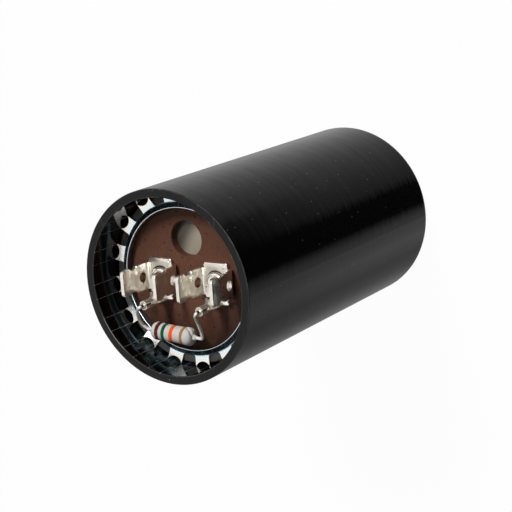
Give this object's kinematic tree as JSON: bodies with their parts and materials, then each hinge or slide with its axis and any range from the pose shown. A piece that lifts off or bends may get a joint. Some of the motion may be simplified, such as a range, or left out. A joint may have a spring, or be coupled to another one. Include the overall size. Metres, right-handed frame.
{
  "type": "motor start capacitor",
  "caption": "Round start capacitor in a black moulded cup, its brown terminal board held by a toothed ring, with riveted quick-connect terminals and a bleed resistor across them.",
  "frame": {"origin": "centre of the closed end's outer face, on the case axis", "axes": "+Z along the case axis to the open end with the terminals, +X from the left terminal to the right one, +Y towards the vent hole; the bleed resistor lies on the -Y side"},
  "size_m": [0.046, 0.046, 0.0861],
  "materials": {
    "case_phenolic": "glossy black moulded phenolic, matte and grey on the rim's sawn face",
    "board_phenolic": "brown paper phenolic sheet with fine dark specks",
    "gasket_rubber": "dark grey rubber, matte",
    "plug_rubber": "pale grey cream silicone rubber, satin",
    "ring_steel": "bright spring steel with faint blue and warm tints",
    "terminal_tin": "tin plated sheet, satin, with tool marks and bright burrs",
    "rivet_tin": "bright tinned rivet",
    "resistor_lacquer": "pale grey lacquer with four colour bands",
    "lead_tin": "tinned wire",
    "solder": "solder, glossy",
    "foil_aluminium": "plain foil strip",
    "winding_roll": "rolled foil and paper",
    "wrap_paper": "brown paper sleeve",
    "potting_compound": "dark potting compound"
  },
  "bodies": {
    "root": {"case": "case_phenolic", "terminal_board": "board_phenolic", "edge_gasket": "gasket_rubber", "vent_plug": "plug_rubber", "retaining_ring": "ring_steel", "terminal_left": "terminal_tin", "terminal_right": "terminal_tin", "rivet_left": "rivet_tin", "rivet_right": "rivet_tin", "rivet_washer_left": "rivet_tin", "rivet_washer_right": "rivet_tin", "resistor_body": "resistor_lacquer", "resistor_lead_left": "lead_tin", "resistor_lead_right": "lead_tin", "solder_left": "solder", "solder_right": "solder", "foil_tab_left": "foil_aluminium", "foil_tab_right": "foil_aluminium", "winding": "winding_roll", "winding_wrap": "wrap_paper", "potting": "potting_compound"}
  },
  "joints": []
}
